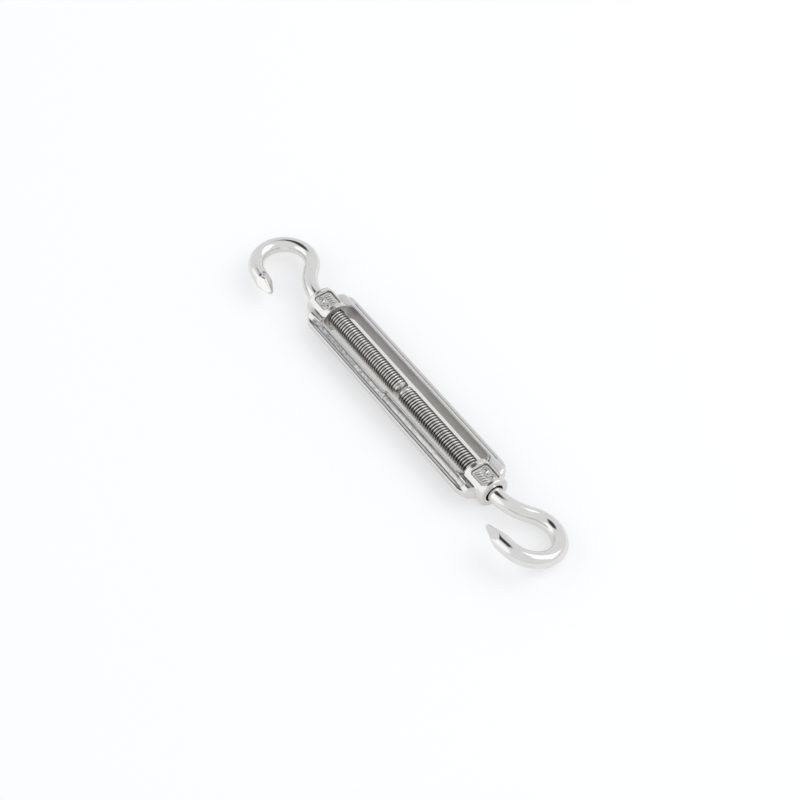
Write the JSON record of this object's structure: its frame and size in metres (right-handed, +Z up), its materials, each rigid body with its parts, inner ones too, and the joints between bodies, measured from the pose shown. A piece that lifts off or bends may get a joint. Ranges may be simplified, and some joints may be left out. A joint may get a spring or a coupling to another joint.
{
  "type": "rigging turnbuckle",
  "caption": "Open-body rigging turnbuckle with a hook at each end, on a right-hand and a left-hand threaded rod, screwed in to its closed length.",
  "frame": {"origin": "middle of the body's open window, on the thread axis", "axes": "+X along the thread axis towards the left-hand hook, +Y across the body, +Z up out of the window as the part lies on its two bosses"},
  "size_m": [0.149, 0.0233, 0.0105],
  "materials": {
    "body_casting": "polished casting with dull cast channels",
    "hook_steel": "bright polished"
  },
  "bodies": {
    "frame": {"body_frame": "body_casting"},
    "rh_rod_end": {"rh_rod_end": "hook_steel"},
    "rh_hook": {"rh_hook": "hook_steel"},
    "lh_rod_end": {"lh_rod_end": "hook_steel"},
    "lh_hook": {"lh_hook": "hook_steel"}
  },
  "joints": [
    {"name": "rh_travel", "type": "slide", "parent": "frame", "child": "rh_rod_end", "axis": [-1, 0, 0], "range_m": [-0.00101, 0.03201]},
    {"name": "rh_screw", "type": "hinge", "parent": "rh_rod_end", "child": "rh_hook", "pos_m": [-0.05, 0, 0], "axis": [-1, 0, 0], "range_deg": [-360, 11520]},
    {"name": "lh_travel", "type": "slide", "parent": "frame", "child": "lh_rod_end", "axis": [1, 0, 0], "range_m": [-0.00001, 0.03201]},
    {"name": "lh_screw", "type": "hinge", "parent": "lh_rod_end", "child": "lh_hook", "pos_m": [0.05, 0, 0], "axis": [-1, 0, 0], "range_deg": [0, 11520]}
  ],
  "couplings": [
    {"joint": "rh_travel", "follows": "rh_screw", "m_per_rad": 0.00015915},
    {"joint": "lh_travel", "follows": "lh_screw", "m_per_rad": 0.00015915}
  ]
}
